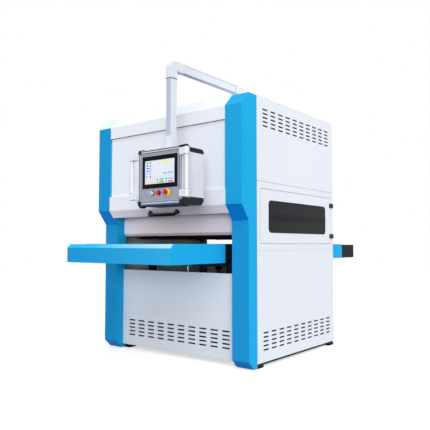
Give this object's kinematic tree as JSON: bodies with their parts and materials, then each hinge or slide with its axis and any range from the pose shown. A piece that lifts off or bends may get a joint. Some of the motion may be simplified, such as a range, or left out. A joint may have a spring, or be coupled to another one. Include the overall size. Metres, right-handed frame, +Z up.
{
  "type": "sheet metal deburring machine",
  "caption": "Through-feed sheet metal deburring machine with a belt table, abrasive belt and disc-brush heads and a control panel on a swing arm.",
  "frame": {"origin": "on the floor, in the middle of the four anchor holes", "axes": "+X to the right seen from the infeed side, +Y along the feed towards the outfeed, +Z up"},
  "size_m": [1.5543, 2.894, 2.192],
  "materials": {
    "black_steel": "satin",
    "frame_grey": "satin",
    "blue_paint": "gloss",
    "white_paint": "gloss",
    "galvanised": "satin",
    "motor_blue": "satin",
    "black_rubber": "matte",
    "abrasive": "matte",
    "arm_silver": "satin",
    "black_plastic": "satin",
    "tinted_window": "gloss",
    "feed_belt": "matte",
    "bright_steel": "satin",
    "roller_metal": "satin",
    "brush_flaps": "matte",
    "panel_grey": "satin",
    "anodised": "satin",
    "plate_grey": "satin",
    "screen": "gloss",
    "silver_plastic": "gloss",
    "red_plastic": "gloss"
  },
  "bodies": {
    "root": {"base_frame": "black_steel", "main_frame": "frame_grey", "left_column_cover": "blue_paint", "right_column_cover": "blue_paint", "lower_side_panels": "white_paint", "upper_side_panels": "white_paint", "side_door_surround": "white_paint", "left_middle_panel": "white_paint", "roof_cover": "white_paint", "front_fascia": "white_paint", "front_panels": "white_paint", "rear_panels": "white_paint", "extraction_duct": "galvanised", "belt_head_frame": "frame_grey", "belt_motor": "motor_blue", "v_belt": "black_rubber", "abrasive_belt": "abrasive", "brush_gearbox": "frame_grey", "pinch_brackets": "frame_grey", "arm_base": "arm_silver", "lift_jacks": "frame_grey", "lift_motor": "motor_blue", "hinge_bases": "black_plastic"},
    "side_door": {"side_door": "white_paint", "side_window": "tinted_window", "hinge_leaves": "black_plastic"},
    "front_door": {"front_door": "white_paint", "front_door_handle": "black_plastic"},
    "table": {"conveyor_frame": "black_steel", "front_shroud": "blue_paint", "rear_shroud": "blue_paint", "conveyor_belt": "feed_belt", "conveyor_gearmotor": "motor_blue", "outfeed_rack": "black_steel", "lift_screws": "bright_steel"},
    "arm": {"arm_profiles": "arm_silver", "arm_elbows": "arm_silver"},
    "panel": {"panel_collar": "arm_silver", "panel_housing": "panel_grey", "panel_frame": "anodised", "panel_corners": "black_plastic", "panel_face": "plate_grey", "screen_bezel": "black_plastic", "touch_screen": "screen", "panel_handles": "arm_silver"},
    "drive_roller": {"drive_roller": "roller_metal"},
    "idler_roller": {"idler_roller": "roller_metal"},
    "lift_shaft": {"lift_shaft": "bright_steel"},
    "contact_roller": {"contact_roller": "black_rubber"},
    "tension_roller": {"tension_roller": "roller_metal"},
    "motor_pulley": {"motor_pulley": "bright_steel"},
    "brush_disc_1": {"brush_disc_1": "brush_flaps"},
    "brush_disc_2": {"brush_disc_2": "brush_flaps"},
    "brush_disc_3": {"brush_disc_3": "brush_flaps"},
    "brush_disc_4": {"brush_disc_4": "brush_flaps"},
    "pinch_roller_1": {"pinch_roller_1": "black_rubber"},
    "pinch_roller_2": {"pinch_roller_2": "black_rubber"},
    "selector_knob": {"selector_knob": "silver_plastic"},
    "red_button": {"red_button": "red_plastic"},
    "estop_button": {"estop_button": "red_plastic"}
  },
  "joints": [
    {"name": "side_door_hinge", "type": "hinge", "parent": "root", "child": "side_door", "pos_m": [0.7773, 0.589, 1.1085], "axis": [0, 0, 1], "range_deg": [0, 110]},
    {"name": "front_door_hinge", "type": "hinge", "parent": "root", "child": "front_door", "pos_m": [0, -0.762, 1.815], "axis": [-1, 0, 0], "range_deg": [0, 17]},
    {"name": "table_lift", "type": "slide", "parent": "root", "child": "table", "axis": [0, 0, 1], "range_m": [-0.04, 0.04]},
    {"name": "lift_shaft_turn", "type": "hinge", "parent": "root", "child": "lift_shaft", "pos_m": [0, -0.0445, 0.195], "axis": [1, 0, 0], "range_deg": [-1450, 1450]},
    {"name": "drive_roller_turn", "type": "hinge", "parent": "table", "child": "drive_roller", "pos_m": [0, 1.148, 0.8387], "axis": [1, 0, 0], "continuous": true},
    {"name": "idler_roller_turn", "type": "hinge", "parent": "table", "child": "idler_roller", "pos_m": [0, -1.147, 0.8387], "axis": [1, 0, 0], "continuous": true},
    {"name": "contact_roller_turn", "type": "hinge", "parent": "root", "child": "contact_roller", "pos_m": [0, -0.327, 1.044], "axis": [1, 0, 0], "continuous": true},
    {"name": "tension_roller_turn", "type": "hinge", "parent": "root", "child": "tension_roller", "pos_m": [0, -0.327, 1.664], "axis": [1, 0, 0], "continuous": true},
    {"name": "motor_pulley_turn", "type": "hinge", "parent": "root", "child": "motor_pulley", "pos_m": [0, -0.057, 1.44], "axis": [1, 0, 0], "continuous": true},
    {"name": "brush_disc_1_turn", "type": "hinge", "parent": "root", "child": "brush_disc_1", "pos_m": [-0.375, 0.123, 1], "axis": [0, 0, 1], "continuous": true},
    {"name": "brush_disc_2_turn", "type": "hinge", "parent": "root", "child": "brush_disc_2", "pos_m": [-0.125, 0.323, 1], "axis": [0, 0, 1], "continuous": true},
    {"name": "brush_disc_3_turn", "type": "hinge", "parent": "root", "child": "brush_disc_3", "pos_m": [0.125, 0.123, 1], "axis": [0, 0, 1], "continuous": true},
    {"name": "brush_disc_4_turn", "type": "hinge", "parent": "root", "child": "brush_disc_4", "pos_m": [0.375, 0.323, 1], "axis": [0, 0, 1], "continuous": true},
    {"name": "pinch_roller_1_turn", "type": "hinge", "parent": "root", "child": "pinch_roller_1", "pos_m": [0, -0.517, 0.984], "axis": [1, 0, 0], "continuous": true},
    {"name": "pinch_roller_2_turn", "type": "hinge", "parent": "root", "child": "pinch_roller_2", "pos_m": [0, 0.523, 0.984], "axis": [1, 0, 0], "continuous": true},
    {"name": "arm_swing", "type": "hinge", "parent": "root", "child": "arm", "pos_m": [0.4, -0.322, 2.1], "axis": [0, 0, 1], "range_deg": [-15, 110]},
    {"name": "panel_swivel", "type": "hinge", "parent": "arm", "child": "panel", "pos_m": [0.4, -1.139, 1.655], "axis": [0, 0, 1], "range_deg": [-90, 90]},
    {"name": "selector_turn", "type": "hinge", "parent": "panel", "child": "selector_knob", "pos_m": [0.332, -1.255, 1.25], "axis": [0, -1, 0], "range_deg": [-45, 45]},
    {"name": "red_button_press", "type": "slide", "parent": "panel", "child": "red_button", "axis": [0, 1, 0], "range_m": [0, 0.004], "stiffness_N_per_m": 500, "springref_m": -0.002},
    {"name": "estop_press", "type": "slide", "parent": "panel", "child": "estop_button", "axis": [0, 1, 0], "range_m": [0, 0.005], "stiffness_N_per_m": 500, "springref_m": -0.002}
  ],
  "couplings": [
    {"joint": "lift_shaft_turn", "follows": "table_lift", "rad_per_m": 628.32},
    {"joint": "idler_roller_turn", "follows": "drive_roller_turn", "ratio": 1},
    {"joint": "tension_roller_turn", "follows": "contact_roller_turn", "ratio": 1.4286},
    {"joint": "motor_pulley_turn", "follows": "contact_roller_turn", "ratio": 1.125},
    {"joint": "brush_disc_2_turn", "follows": "brush_disc_1_turn", "ratio": -1},
    {"joint": "brush_disc_3_turn", "follows": "brush_disc_1_turn", "ratio": 1},
    {"joint": "brush_disc_4_turn", "follows": "brush_disc_1_turn", "ratio": -1}
  ]
}
